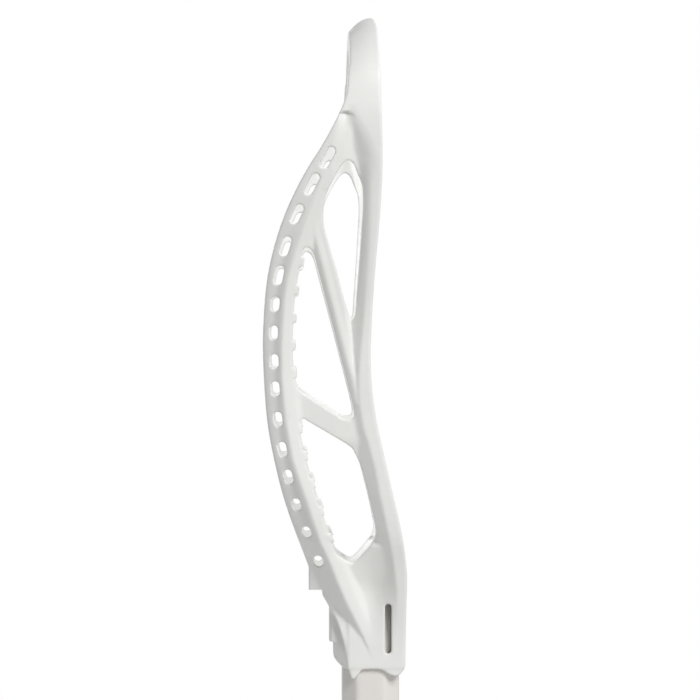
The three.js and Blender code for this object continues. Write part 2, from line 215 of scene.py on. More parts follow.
def polygon_distance(outline, a, b):
    """Signed distance, negative inside, from grid points to a closed 2-D outline."""
    squared = np.full(a.shape, 1e9, np.float32)
    inside = np.zeros(a.shape, bool)
    for (a0, b0), (a1, b1) in zip(outline, list(outline[1:]) + [outline[0]]):
        ea, eb = a1 - a0, b1 - b0
        length = ea * ea + eb * eb
        if length < 1e-9:
            continue
        t = np.clip(((a - a0) * ea + (b - b0) * eb) / length, 0.0, 1.0)
        squared = np.minimum(squared, (a - a0 - ea * t) ** 2 + (b - b0 - eb * t) ** 2)
        if eb:
            inside ^= ((b0 > b) != (b1 > b)) & (a < ea * (b - b0) / eb + a0)
    return np.where(inside, -np.sqrt(squared), np.sqrt(squared)).astype(np.float32)


def slot_distance(height, y, length, width, tilt, Y, H):
    """Signed distance to a round-ended slot in the side view."""
    turn = math.radians(tilt)
    along = (H - height) * math.cos(turn) - (Y - y) * math.sin(turn)
    across = (H - height) * math.sin(turn) + (Y - y) * math.cos(turn)
    reach = (length - width) / 2
    along = np.abs(along) - reach
    return np.hypot(np.maximum(along, 0.0), across) - width / 2


# ---------------------------------------------------------------- shared sizes

CLEARANCE = 0.3
SHAFT_WIDTH, SHAFT_DEPTH, SHAFT_CHAMFER, SHAFT_WALL = 25.4, 28.4, 7.4, 1.5
SHAFT_INSERTION = 45.5
# Round seat for the ball, and the lowest point of its floor.
STOP_RADIUS, STOP_FLOOR = 33.0, 49.5
SCREW_HEIGHT, SCREW_HOLE_RADIUS, SCREW_HOLE_FROM = 27.0, 2.7, 8.0
COUNTERBORE_RADIUS, COUNTERBORE_DEPTH = 4.9, 3.5
# Socket tube and the boss on its back: half width, back, front, chamfer, low end, high end.
SOCKET = (15.4, 18.5, -16.5, 7.6, 5.0, 49.0)
BOSS = (9.5, 20.5, 0.0, 1.5, 18.0, 46.0)
SOCKET_HEEL = 13.5
# Side openings are cut only this far from the mid-plane and beyond.
WALLS_FROM, THROAT_SLOT_FROM = 12.0, 10.0

# ---------------------------------------------------------------- head outlines
# Front view, [half width, height].
OUTER_SIDE = [
    [14.8, -8], [14.8, 0], [15.4, 12], [17.6, 25], [21.6, 38], [27.8, 56], [34.5, 71],
    [38.2, 88], [39.8, 102], [42.5, 130], [49.5, 170], [58, 200], [68, 228], [77, 252],
]
OUTER_SCOOP_FRONT = [
    [82, 270], [83, 283], [80.3, 295.5], [70.4, 306.5], [55, 315], [36, 321], [18, 324.8],
    [0, 326.4],
]
OUTER_SCOOP_BACK = [
    [81.9, 269.8], [82.7, 282], [79.6, 293.8], [69.6, 304], [54.4, 311.2], [35.5, 314.4],
    [17.5, 316.6], [0, 317.8],
]
INNER_SIDE = [
    [STOP_RADIUS, STOP_FLOOR + STOP_RADIUS], [33.6, 102], [36.6, 130], [43.4, 170],
    [51.8, 200], [61.8, 228], [70.2, 250],
]
INNER_SCOOP_FRONT = [
    [75.4, 266], [77.6, 280], [75.6, 290.5], [67.4, 301.5], [51.4, 310.5], [28, 317.8], [0, 322],
]
INNER_SCOOP_BACK = [
    [73.6, 262], [75, 271], [71.8, 282], [63, 292], [48, 300], [27, 306.4], [0, 309],
]
SCOOP_FRONT, SCOOP_TIP, SCOOP_BACK = -5.0, 0.0, 12.0

# Side view, [height, y].
BACK_EDGE = [
    [44, 30.6], [55.6, 30.6], [61.6, 32.8], [78.1, 38.9], [93.1, 43.7], [109.1, 47.5],
    [124.2, 50.3], [140.2, 51.9], [165.2, 52.9], [187.3, 51.8], [201.8, 49.8], [217.3, 45.8],
    [232.4, 40], [247.4, 32.2], [259.5, 24.5], [270, 18.6], [277, 15.3], [284, 12.8],
    [297, 11.8], [300, 11.3], [330, 11.2],
]
FRONT_EDGE = [
    [330, -0.6], [325.8, -0.9], [322.3, -1.9], [312.4, -2.8], [285.5, -3.6], [252.4, -4.4],
    [228.4, -3.5], [194.3, -0.8], [165.2, 0.6], [148.2, 0.3], [130.2, -1.9], [100.1, -8.5],
    [74.1, -14.5], [56.1, -17.2], [46.1, -17.6], [38, -17.4], [7, -17],
]
LIP_EDGE = [
    [4.4, -16.2], [2.2, -14.4], [1.4, -11.8], [2.4, -9], [4.4, -5.9], [6, -3], [6.6, -0.8],
    [6.4, 1.6], [4.6, 4.4], [1.6, 6.8], [0, 8.2], [0, 9.4], [2.5, 10.3], [7.4, 11.4],
    [12.3, 12.3], [17.2, 13.3], [23.1, 14.9], [29.5, 17.2], [34.4, 19.8], [41.4, 23.8],
    [44, 24.1],
]
UPPER_WINDOW = [
    [252.8, 12], [251, 9.3], [246.5, 7.4], [241.8, 5.5], [237.5, 5], [231, 4.9], [221, 5.5],
    [208, 6.3], [192, 7.5], [182, 8.1], [178.8, 8.6], [177.4, 9.4], [178.6, 10.6],
    [181.8, 12], [191.3, 14.7], [200.8, 17.2], [210.4, 20.1], [219.8, 22.8], [225, 23.6],
    [230, 23.5], [235, 22.7], [240, 20.9], [246.6, 17.5], [250.8, 14.6],
]
MIDDLE_WINDOW = [
    [208, 34], [211, 33], [211.8, 31.4], [210.4, 29.4], [207.6, 28], [197.4, 25.3],
    [177.9, 20.1], [156.6, 14.6], [138.4, 10], [132.5, 8.8], [129.6, 9.1], [128.6, 11],
    [129.2, 14.3], [132.3, 19.2], [136.4, 25.6], [140.4, 31.7], [143.4, 35.6], [147, 37.4],
]
LOWER_WINDOW = [
    [124, 35.3], [128, 34.8], [129, 33], [127.9, 31.2], [121.6, 20.5], [115.7, 10.9],
    [112.2, 8.2], [104.6, 4.9], [96, 2.6], [87, 0.4], [78.1, -1.4], [74.1, -2], [71.8, -1.8],
    [69, -0.8], [65.4, 1.9], [61.8, 5], [59.3, 7.4], [58.1, 9.6], [59.4, 12.6], [61.3, 15.6],
    [63, 17.2], [66, 18.4],
]
RAIL_INNER_EDGE = [
    [212, 32.4], [207, 34], [200, 35.7], [190, 37.2], [184.6, 37.8], [178, 38.2], [171, 38.5],
    [164, 38.6], [157.6, 38.5], [151, 38], [140, 36.8], [128, 35.6], [119.7, 34.8],
    [107.6, 32.1], [97.5, 29.3], [90.5, 26.9], [84, 25], [77.7, 22.9], [72, 20.9], [66, 18.4],
]
RAIL_RIDGE = [
    [10, -0.8], [20, 3.6], [28.5, 7.8], [38.4, 12.7], [48.1, 16.7], [58.1, 20.6], [68.1, 25.1],
    [88.1, 31.4], [99.1, 35.3], [109.1, 38.5], [128.2, 41.9], [148.2, 43.7], [162.2, 43.9],
    [177.2, 43], [186.3, 42.5], [196.3, 40.9], [210.3, 36.8], [225.4, 31.4], [240.4, 25.4],
    [255.5, 20], [275.5, 15],
]
STRUT_RIDGE = [
    [133.2, 5.7], [138.2, 7.3], [147.8, 9.2], [157.5, 12.1], [174.4, 16.5], [194.6, 21.8],
    [215, 27.2], [230.4, 30.9],
]
# Edge of the raised front rail and scoop side, from the back of the scoop down.
TOP_FACE = [
    [277.3, 31], [276.9, 15.6], [276.3, 11.4], [273.7, 10.2], [270.4, 8.6], [267.2, 6.4],
    [262.5, 4.1], [258.3, 2.3], [254.6, 1.2], [247.4, 0.5], [233.4, 0.6], [219.3, 0.9],
    [204.3, 1.6], [187.3, 3.2], [167.2, 5], [155.2, 6], [147.8, 6.3], [140.2, 6.2],
    [133.2, 5.5], [123.7, 3.8], [116.2, 1.3], [104.1, -1.9], [89.4, -4.5], [79.6, -6.8],
    [69.7, -8.8], [59.7, -10.6], [45.1, -12.6], [20, -12.8], [-10, -12.8],
]
# String holes of a back rail: height, y, length, width, tilt in degrees.
STRING_HOLES = [
    (254, 21.6, 11, 4, 28), (241.5, 29.1, 11, 4, 28), (227.5, 36.2, 9.8, 4, 25),
    (212.2, 41.7, 9.6, 4, 17), (198.4, 44.9, 9.4, 4, 11), (184.6, 46.7, 7.2, 4, 5),
    (170.8, 47.5, 6.9, 4, 1), (156.8, 47.2, 7.1, 4, -2), (143.5, 46.7, 7.2, 4, -4),
    (128.7, 45.4, 7.2, 4, -7), (114, 43.3, 7.4, 4, -11), (100.7, 40.4, 7, 4, -15),
    (87, 36.5, 6, 4, -18), (73.4, 31.6, 5.6, 4.2, -21), (58.8, 25.8, 5.6, 4.6, -22),
]
# Lands between the string notches, evenly spaced up the rail's inner edge.
LAND_FIRST, LAND_PITCH, LAND_COUNT = 70.7, 13.4, 11
LAND_LENGTH, LAND_HEIGHT = 4.8, 1.6
THROAT_SLOT = (25.0, -8.5, 24.8, 3.2, 0.0)
# Slots up through the back part of the scoop, as many on each side of the middle one.
SCOOP_SLOTS_A_SIDE, SCOOP_SLOT_SPACING, SCOOP_SLOT_Y, SCOOP_SLOT_FROM = 2, 14.0, 8.2, 285.0
SCOOP_SLOT_STRAIGHT, SCOOP_SLOT_RADIUS = 1.2, 1.3


def along_height(points, H):
    """Value of a [height, value] list at every height, straight between its points."""
    ordered = sorted(points)
    return np.interp(H, [p[0] for p in ordered], [p[1] for p in ordered])


def rail_edge(high, low):
    """The back rail's inner edge between two heights, going up."""
    inside = [p for p in RAIL_INNER_EDGE if low < p[0] < high]
    heights = [low] + sorted(p[0] for p in inside) + [high]
    return [(float(along_height(RAIL_INNER_EDGE, h)), h) for h in heights]


# ---------------------------------------------------------------- head fields

VOXEL = 0.6
MIN_WALL = 4.2
# Width of the soft edge or fillet where surfaces of the head meet.
ROUNDING = {
    "wall": 1.5, "opening": 1.4, "profile": 0.9, "relief": 0.9, "socket": 0.8, "window": 0.7,
    "land": 0.6, "slot": 0.6, "bore": 0.5, "hole": 0.35,
}
# Blend from the head's middle, which has no relief, out to its walls.
RELIEF_FROM, RELIEF_FULL = 9.0, 14.0
# Depth under a sunken surface that the opening's wall keeps, and the deepest it follows.
BEHIND_RELIEF, DEEPEST_RELIEF = 2.8, 7.0
# Larger than any distance that matters, and a depth that puts a part out of play.
FAR, ELSEWHERE = 50.0, 20.0
X_REACH, Y_LOW, Y_HIGH, H_LOW, H_HIGH = 87.0, -23.0, 56.0, -5.0, 331.0


def side_profile(Y, H):
    """Distance to the head's side silhouette."""
    back = spline(BACK_EDGE[1:], 3)
    front = spline(FRONT_EDGE, 3)
    outline = [tuple(p) for p in LIP_EDGE] + [tuple(BACK_EDGE[0])]
    outline += [tuple(p) for p in back] + [tuple(p) for p in front]
    return polygon_distance(swap(outline), Y, H)


def window_fields(Y, H):
    """Distances to the three side windows, with the lands left standing in them."""
    upper = polygon_distance(swap([tuple(p) for p in closed_spline(UPPER_WINDOW, 4)]), Y, H)
    middle_side = swap([tuple(p) for p in spline(MIDDLE_WINDOW, 4)])
    middle = polygon_distance(middle_side + rail_edge(207, 149), Y, H)
    lower_side = swap([tuple(p) for p in spline(LOWER_WINDOW, 4)])
    lower = polygon_distance(lower_side + rail_edge(123, 67), Y, H)
    lands = land_field(Y, H)
    round_off = ROUNDING["land"]
    return upper, smax(middle, -lands, round_off), smax(lower, -lands, round_off)


def land_field(Y, H):
    """Distance to the row of lands along the back rail's inner edge."""
    step = np.clip(np.round((H - LAND_FIRST) / LAND_PITCH), 0, LAND_COUNT - 1)
    along = np.abs(H - LAND_FIRST - step * LAND_PITCH) - LAND_LENGTH / 2
    beyond = along_height(RAIL_INNER_EDGE, H) - LAND_HEIGHT - Y
    return smax(along, beyond, 0.8)


def hole_field(Y, H):
    """Distance to the nearest string hole."""
    field = np.full(Y.shape, FAR, np.float32)
    for hole in STRING_HOLES:
        field = np.minimum(field, slot_distance(*hole, Y, H))
    return field


def string_channel(Y, H):
    """Shallow channel that joins the string holes along the outside of the rail."""
    middle = along_height([(h, y) for h, y, _, _, _ in STRING_HOLES], H)
    ends = smoothstep(H, 60, 75) * (1 - smoothstep(H, 205, 225))
    return 0.55 * np.exp(-(((Y - middle) / 2.4) ** 2)) * ends


def rail_relief(Y, H):
    """Depth of the back rail's outer facet, which the inside of the wall follows."""
    behind = Y - along_height(RAIL_RIDGE, H)
    return rail_slope(H) * soft_positive(behind, 3.0)


def rail_slope(H):
    """Steepness of the outer facet, which flattens towards the scoop."""
    return np.interp(
        H, [40, 60, 80, 110, 195, 225, 240, 270], [1.0, 0.95, 0.74, 0.64, 0.53, 0.26, 0.13, 0.06]
    )


def rail_depth(Y, H, behind):
    """Back rail: an outer facet that carries the string holes, and a shallow inner one."""
    outer_facet = rail_slope(H) * soft_positive(behind, 1.2)
    inner_slope = np.interp(H, [20, 60, 75, 200], [0.16, 0.2, 0.2, 0.24])
    inner_facet = inner_slope * soft_positive(-behind, 1.2)
    inner_facet = inner_facet + 0.5 * soft_positive(-behind - 6.5, 1.0)
    throat_fall = np.interp(H, [18, 40, 60, 68, 74], [0.04, 0.2, 0.24, 0.18, 0.0])
    inner_facet = inner_facet + throat_fall * soft_positive(-behind - 1.5, 1.0)
    deepest = np.interp(H, [8, 20, 30, 38], [0.0, 1.3, 4.2, 9.0])
    rail = np.maximum(outer_facet, inner_facet)
    return smin(rail, np.where(behind > 0, deepest, 9.0), 0.6)


def front_depth(Y, H):
    """Front rail and scoop side stand proud, with a facet down to the openings."""
    outline = [tuple(p) for p in TOP_FACE] + [(-10, -40), (340, -40), (340, 30)]
    top = polygon_distance(swap(outline), Y, H)
    slope = np.interp(
        H, [15, 30, 45, 58, 75, 110, 140, 180, 200, 240, 254, 276],
        [0.0, 0.25, 0.7, 0.9, 0.8, 0.72, 0.75, 0.75, 0.32, 0.3, 0.72, 0.85],
    )
    curl = np.interp(H, [150, 180, 200, 240, 254], [0.0, 0.0, 0.09, 0.1, 0.0])
    bend = np.interp(H, [215, 250], [0.6, 3.0])
    front = slope * (soft_positive(top, bend) - 0.2 * bend) + curl * np.maximum(top, 0.0) ** 2
    return np.clip(front, 0.0, np.interp(H, [62, 74], [8.0, 4.6]))


def diagonal_depth(Y, H):
    """Diagonal strut: a ridge with a steep back facet, a shallow front one and a bank below."""
    off = (Y - along_height(STRUT_RIDGE, H)) * 0.97
    width = np.interp(
        H, [140, 146, 150, 157, 165, 170, 176, 190, 215],
        [0.8, 1.4, 2.0, 2.8, 3.8, 4.4, 5.1, 5.4, 6.0],
    )
    sink = np.interp(H, [135, 150, 200, 215], [0.0, 0.3, 1.0, 1.2])
    strut = sink + 0.8 * soft_positive(off, 0.8) + 0.26 * np.minimum(soft_positive(-off, 1.0), 3.2)
    bank = np.interp(H, [160, 176, 184], [2.6, 2.6, 0.5])
    strut = strut + bank * soft_positive(-off - width, 0.6)
    return strut + ELSEWHERE * (1 - smoothstep(H, 128, 136))


def lower_web_depth(Y, H):
    """Lower strut: a flat web with a fine bevel along its upper edge."""
    above = (H - (130.7 + (Y - 9.6) * 0.575)) * 0.87
    return 2.5 + soft_positive(above, 0.5) + 0.42 * soft_positive(118.0 - H, 2.0)


def upper_web_depth(Y, H):
    """Web beside the upper window, falling away towards the front rail's valley."""
    edge = np.interp(H, [225, 246, 252, 257, 264, 272], [9.0, 9.0, 9.8, 10.2, 10.4, 10.8])
    deep = np.interp(H, [246, 256, 266, 274], [4.4, 4.4, 3.6, 2.2])
    web = np.clip(deep - 0.36 * (Y - edge), 0.8, 9.0)
    return web + ELSEWHERE * (1 - smoothstep(H, 226, 240))


def throat_depth(Y, H):
    """Throat: a shallow bowl between the rails, with a rounder hollow in its middle."""
    bowl = 4.6 - 0.006 * np.minimum(10.0 - Y, 20.0) ** 2
    bowl = bowl + 2.6 * np.exp(-(((Y + 1.0) / 8.0) ** 2) - ((H - 41.0) / 13.0) ** 2)
    return bowl * smoothstep(H, 12, 50) + 12.0 * smoothstep(H, 66, 74)


def sill_depth(Y, H, lower_window):
    """Fine bevel on the sill of the lower window."""
    sill = soft_positive(1.0 - np.abs(lower_window), 0.3) * (1 - smoothstep(H, 72, 78))
    return 0.8 * sill * (np.abs(Y - 9) < 16)


def undercut_depth(Y, H):
    """Undercut pocket where the back rail dives below the scoop."""
    arch = H - (275.4 - 0.12 * (Y - 13.0) ** 2)
    fall = np.exp(-(((Y - 13.2) / 2.6) ** 2) + 0.22 * np.minimum(arch, 0.0))
    return 2.6 * (fall * (arch < 0))


def relief(Y, H, lower_window):
    """Depth of the outer surface below the hoop's outer curve, over the side view."""
    behind = Y - along_height(RAIL_RIDGE, H)
    rail = rail_depth(Y, H, behind)
    depth = smin(rail, smin(front_depth(Y, H), upper_web_depth(Y, H), 3.2), ROUNDING["relief"])
    for part in (diagonal_depth, lower_web_depth, throat_depth):
        depth = smin(depth, part(Y, H), ROUNDING["relief"])
    depth = np.where(behind > 0, rail, depth)
    depth = depth + sill_depth(Y, H, lower_window)
    depth = depth + undercut_depth(Y, H)
    return np.maximum(depth, 0.0) + string_channel(Y, H) * (behind > 0)


def front_field(side, scoop, X, H):
    """Distance to the closed front-view outline of one half, from the mid-plane out."""
    half = [tuple(p) for p in spline(side + scoop, 4)]
    low = half[0][1]
    outline = [(-half[0][0], low)] + half + [(-x, h) for x, h in reversed(half)]
    return polygon_distance(outline, X, H)


def opening_outline():
    """Round seat for the ball, from the middle of its floor to the side wall."""
    centre = STOP_FLOOR + STOP_RADIUS
    turns = np.linspace(0.0, math.pi / 2, 12)[:-1]
    return [[STOP_RADIUS * math.sin(a), centre - STOP_RADIUS * math.cos(a)] for a in turns]


def opening_field(scoop, X, H):
    """Distance to the opening that the ball passes through, with its round seat below."""
    half = [tuple(p) for p in opening_outline()]
    half += [tuple(p) for p in spline(INNER_SIDE + scoop, 4)]
    outline = half + [(-x, h) for x, h in reversed(half)]
    return polygon_distance(outline, X, H)


def octagon_field(X, Y, half_x, back, front, chamfer):
    """Distance to an upright prism: a rectangle with its back corners cut at 45 degrees."""
    field = np.maximum(X - half_x, np.maximum(Y - back, front - Y))
    diagonal = (X + Y - (half_x + back - chamfer)) / math.sqrt(2)
    return np.maximum(field, diagonal)


def shaft_field(X, Y, margin):
    """Distance to the shaft's octagonal section, grown by a margin."""
    half_x = SHAFT_WIDTH / 2 + margin
    half_y = SHAFT_DEPTH / 2 + margin
    field = np.maximum(X - half_x, np.abs(Y) - half_y)
    chamfer = SHAFT_CHAMFER + margin * (2 - math.sqrt(2))
    return np.maximum(field, (X + np.abs(Y) - (half_x + half_y - chamfer)) / math.sqrt(2))


def socket_field(X, Y, H):
    """Socket tube round the shaft, with a sloping heel and its back boss for the screw."""
    half_width, back, front, chamfer, low, high = SOCKET
    tube = octagon_field(X, Y, half_width, back, front, chamfer)
    tube = smax(tube, np.maximum(low - H, H - high), 1.2)
    heel = (Y - SOCKET_HEEL + low - H) / math.sqrt(2)
    tube = smax(tube, heel, 2.0)
    half_width, back, front, chamfer, low, high = BOSS
    boss = octagon_field(X, Y, half_width, back, front, chamfer)
    boss = np.maximum(boss, np.maximum(low - H, H - high))
    return smin(tube, boss, ROUNDING["socket"])


def screw_bore_field(X, Y, H):
    """Bore and counterbore for the screw, in from the back of the boss."""
    reach = np.hypot(X, H - SCREW_HEIGHT)
    bore = np.maximum(reach - SCREW_HOLE_RADIUS, SCREW_HOLE_FROM - Y)
    boss_back = BOSS[1]
    counterbore = np.maximum(reach - COUNTERBORE_RADIUS, boss_back - COUNTERBORE_DEPTH - Y)
    return np.minimum(bore, counterbore)


def blend(front, back, t):
    """Front-view fields at the front and the back of the head, mixed over its depth."""
    return front[:, None, :] * (1 - t) + back[:, None, :] * t


def hoop_fields(x, y, h):
    """Outer curve and ball opening of the head, as distances before any relief."""
    X, H = np.meshgrid(x, h, indexing="ij")
    out = np.clip((y - SCOOP_TIP) / (SCOOP_BACK - SCOOP_TIP), 0, 1)[None, :, None] ** 2
    into = np.clip((y - SCOOP_FRONT) / (SCOOP_BACK - SCOOP_FRONT), 0, 1)[None, :, None]
    outer = blend(
        front_field(OUTER_SIDE, OUTER_SCOOP_FRONT, X, H),
        front_field(OUTER_SIDE, OUTER_SCOOP_BACK, X, H),
        out,
    )
    inner = blend(opening_field(INNER_SCOOP_FRONT, X, H), opening_field(INNER_SCOOP_BACK, X, H), into)
    return outer, inner


def head_field():
    """The whole head as distances on a grid of one half, negative inside."""
    x = (np.arange(int(X_REACH / VOXEL)) + 0.5) * VOXEL
    y = np.arange(Y_LOW, Y_HIGH, VOXEL)
    h = np.arange(H_LOW, H_HIGH, VOXEL)
    x, y, h = (v.astype(np.float32) for v in (x, y, h))
    side_y, side_h = np.meshgrid(y, h, indexing="ij")
    windows = window_fields(side_y, side_h)
    depth = relief(side_y, side_h, windows[2]).astype(np.float32)[None]
    outer, inner = hoop_fields(x, y, h)
    X = x[:, None, None]
    Y = y[None, :, None]
    H = h[None, None, :]
    aside = smoothstep(X, RELIEF_FROM, RELIEF_FULL)
    wall = rail_relief(side_y, side_h) + MIN_WALL
    wall = np.maximum(wall, np.minimum(depth[0], DEEPEST_RELIEF) + BEHIND_RELIEF)
    inner = smax(inner, outer + wall.astype(np.float32)[None], ROUNDING["wall"])
    body = smax(outer + depth * aside, -inner, ROUNDING["opening"])
    profile = side_profile(side_y, side_h).astype(np.float32)[None]
    body = smax(body, profile, ROUNDING["profile"])
    body = smin(body, socket_field(X, Y, H), ROUNDING["socket"])
    # Windows, string holes and the throat's slot go through the side walls only.
    window = np.minimum(np.minimum(windows[0], windows[1]), windows[2])
    body = smax(body, -np.maximum(window[None], WALLS_FROM - X), ROUNDING["window"])
    holes = hole_field(side_y, side_h)[None]
    body = smax(body, -np.maximum(holes, WALLS_FROM - X), ROUNDING["hole"])
    slot = slot_distance(*THROAT_SLOT, side_y, side_h)[None]
    body = smax(body, -np.maximum(slot, THROAT_SLOT_FROM - X), ROUNDING["slot"])
    bore = np.maximum(shaft_field(X, Y, CLEARANCE), H - (SHAFT_INSERTION + CLEARANCE))
    body = smax(body, -bore, ROUNDING["bore"])
    body = smax(body, -screw_bore_field(X, Y, H), ROUNDING["bore"])
    return np.maximum(body, -scoop_holes(X, Y, H)), (x, y, h)


def scoop_holes(X, Y, H):
    """Slots for the top of the pocket, up through the back part of the scoop."""
    field = np.full((X.shape[0], Y.shape[1], 1), FAR, np.float32)
    for i in range(SCOOP_SLOTS_A_SIDE + 1):
        across = np.abs(X - SCOOP_SLOT_SPACING * i) - SCOOP_SLOT_STRAIGHT
        reach = np.hypot(np.maximum(across, 0), Y - SCOOP_SLOT_Y)
        field = np.minimum(field, reach - SCOOP_SLOT_RADIUS)
    return np.maximum(field, SCOOP_SLOT_FROM - H)


def mesh_from_field(name, field, axes):
    """Mesh of the zero surface of a half field and its mirror image."""
    x, y, h = axes
    whole = np.concatenate([field[::-1], field], axis=0)
    grid = openvdb.FloatGrid(3.0)
    grid.copyFromArray(np.ascontiguousarray(np.clip(whole, -3.0, 3.0).astype(np.float32)))
    points, _, quads = grid.convertToPolygons(isovalue=0.0, adaptivity=0.0)
    place = np.array([-x[-1], y[0], h[0] + LIP], float)
    points = (points * VOXEL + place) * MM
    mesh = bpy.data.meshes.new(name)
    mesh.from_pydata(points.tolist(), [], quads[:, ::-1].tolist())
    mesh.update()
    mesh.polygons.foreach_set("use_smooth", [True] * len(mesh.polygons))
    piece = bpy.data.objects.new(name, mesh)
    bpy.context.scene.collection.objects.link(piece)
    return piece


def make_head():
    """Moulded head, as one closed skin."""
    field, axes = head_field()
    return mesh_from_field("moulded_head", field, axes)


# ---------------------------------------------------------------- other pieces

STOP_PAD, STOP_PAD_HALF_WIDTH, STOP_PAD_DEPTH, STOP_PAD_MIDDLE = 2.5, 11.0, 30.0, 3.0
TURNS = 144
SHAFT_END_BREAK, SHAFT_SPANS = 0.5, 24
CAP_WALL, CAP_TOP, CAP_FLOOR = 2.0, 41.6, 4.4
CAP_RIBS, CAP_RIBS_FROM, CAP_RIBS_TO = 6, 15.0, 36.0
# Screw: height of its head, length below it, thread pitch, core and crest.
SCREW_HEAD, SCREW_LENGTH, THREAD_PITCH, THREAD_CORE, THREAD_CREST = 2.6, 22.0, 1.7, 1.75, 2.4


def piece_from(name, points, faces, smooth=True):
    """Object made of points in millimetres, with its normals turned outwards."""
    shape = bmesh.new()
    verts = [shape.verts.new([c * MM for c in p]) for p in points]
    for face in faces:
        shape.faces.new([verts[i] for i in face])
    bmesh.ops.recalc_face_normals(shape, faces=shape.faces)
    mesh = bpy.data.meshes.new(name)
    shape.to_mesh(mesh)
    shape.free()
    mesh.polygons.foreach_set("use_smooth", [smooth] * len(mesh.polygons))
    piece = bpy.data.objects.new(name, mesh)
    bpy.context.scene.collection.objects.link(piece)
    return piece


def loft(name, rings, closed=False):
    """Skin over rings of equal point counts; the ends are capped or joined to each other."""
    count = len(rings[0])
    points = [p for ring in rings for p in ring]
    faces = []
    spans = len(rings) if closed else len(rings) - 1
    for r in range(spans):
        low, high = r * count, ((r + 1) % len(rings)) * count
        for i in range(count):
            j = (i + 1) % count
            faces.append((low + i, low + j, high + j, high + i))
    if not closed:
        faces.append(tuple(range(count)))
        faces.append(tuple(range((len(rings) - 1) * count, len(rings) * count)))
    return piece_from(name, points, faces)


def section_radius(angle, margin, rounding):
    """Distance from the axis to the rounded octagonal section, grown by a margin."""
    half_x, half_y = SHAFT_WIDTH / 2 + margin, SHAFT_DEPTH / 2 + margin
    chamfer = SHAFT_CHAMFER + margin * (2 - math.sqrt(2))
    x, y = abs(math.cos(angle)), abs(math.sin(angle))
    corner = (half_x + half_y - chamfer) / math.sqrt(2)
    sides = [x / half_x, y / half_y, (x + y) / math.sqrt(2) / corner]
    return 1 / sum(side**rounding for side in sides) ** (1 / rounding)


def section_angles():
    """Directions of a ring's points, which miss the axes so that both halves match."""
    return [2 * math.pi * (i + 0.5) / TURNS for i in range(TURNS)]


def section_ring(z, margin, rounding=34.0):
    """Ring of points round the octagonal section at one height."""
    ring = []
    for angle in section_angles():
        radius = section_radius(angle, margin, rounding)
        ring.append((radius * math.cos(angle), radius * math.sin(angle), z))
    return ring


def cut(piece, tool):
    """Cuts one piece with another, which is then thrown away."""
    modifier = piece.modifiers.new("cut", "BOOLEAN")
    modifier.object = tool
    modifier.solver = "EXACT"
    bpy.context.view_layer.update()
    graph = bpy.context.evaluated_depsgraph_get()
    mesh = bpy.data.meshes.new_from_object(piece.evaluated_get(graph))
    piece.modifiers.clear()
    piece.data = mesh
    bpy.data.objects.remove(tool)


def make_shaft():
    """Octagonal tube with soft corners and lightly broken ends."""
    low, high = (corner.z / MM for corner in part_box("shaft"))
    outside = [(low, -SHAFT_END_BREAK), (low + SHAFT_END_BREAK, 0.0)]
    outside += [(low + (high - low) * i / SHAFT_SPANS, 0.0) for i in range(1, SHAFT_SPANS)]
    outside += [(high - SHAFT_END_BREAK, 0.0), (high, -SHAFT_END_BREAK)]
    inside = [(high, -SHAFT_WALL), (low, -SHAFT_WALL)]
    rings = [section_ring(z, margin) for z, margin in outside + inside]
    shaft = loft("alloy_shaft", rings, closed=True)
    cut(shaft, screw_hole())
    return shaft


def screw_hole():
    """Round tool that drills the shaft's back wall for the screw."""
    hole = []
    for y in (5.0, 20.0):
        ring = []
        for angle in np.linspace(0, 2 * math.pi, 33)[:-1]:
            x, z = SCREW_HOLE_RADIUS * math.cos(angle), SCREW_HOLE_RADIUS * math.sin(angle)
            ring.append((x, y, LIP + SCREW_HEIGHT + z))
        hole.append(ring)
    return loft("screw_hole", hole)


def cap_profile():
    """Outside of the end cap from its foot to its lip: height, size, and how round it is.

    Where it is round the size is a radius; on the sleeve it is a step off the octagon.
    """
    steps = [
        (0.0, 9.0, 1.0), (0.9, 9.6, 1.0), (0.9, 11.0, 1.0), (0.0, 11.6, 1.0), (0.0, 16.0, 1.0),
        (0.45, 17.2, 1.0), (1.6, 18.5, 1.0), (3.0, 19.2, 1.0), (4.5, 19.5, 1.0), (8.5, 19.5, 1.0),
        (10.0, 19.2, 1.0), (11.4, 18.5, 0.95), (12.5, 17.3, 0.8), (13.2, 16.6, 0.35), (14.0, 16.3, 0.0),
    ]
    pitch = (CAP_RIBS_TO - CAP_RIBS_FROM) / CAP_RIBS
    for i in range(CAP_RIBS):
        low = CAP_RIBS_FROM + (CAP_RIBS_TO - CAP_RIBS_FROM) * i / CAP_RIBS
        for part, drop in ((0.0, 0.0), (0.55, 0.0), (0.66, 0.55), (0.88, 0.55)):
            steps.append((low + part * pitch, -drop, 0.0))
    lip = [(CAP_RIBS_TO, 0.0, 0.0), (40.9, 0.0, 0.0), (41.7, -0.3, 0.0), (42.0, -0.9, 0.0)]
    return steps + lip


def cap_ring(z, size, roundness):
    """One ring of the cap's outside, between the shaft's octagon and a circle."""
    on_sleeve = roundness == 0.0 and z > CAP_RIBS_FROM - 0.5
    margin = CLEARANCE + CAP_WALL + (size if on_sleeve else 0.0)
    ring = []
    for angle in section_angles():
        octagon = section_radius(angle, margin, 26.0)
        radius = octagon + (size - octagon) * roundness
        ring.append((radius * math.cos(angle), radius * math.sin(angle), z))
    return ring


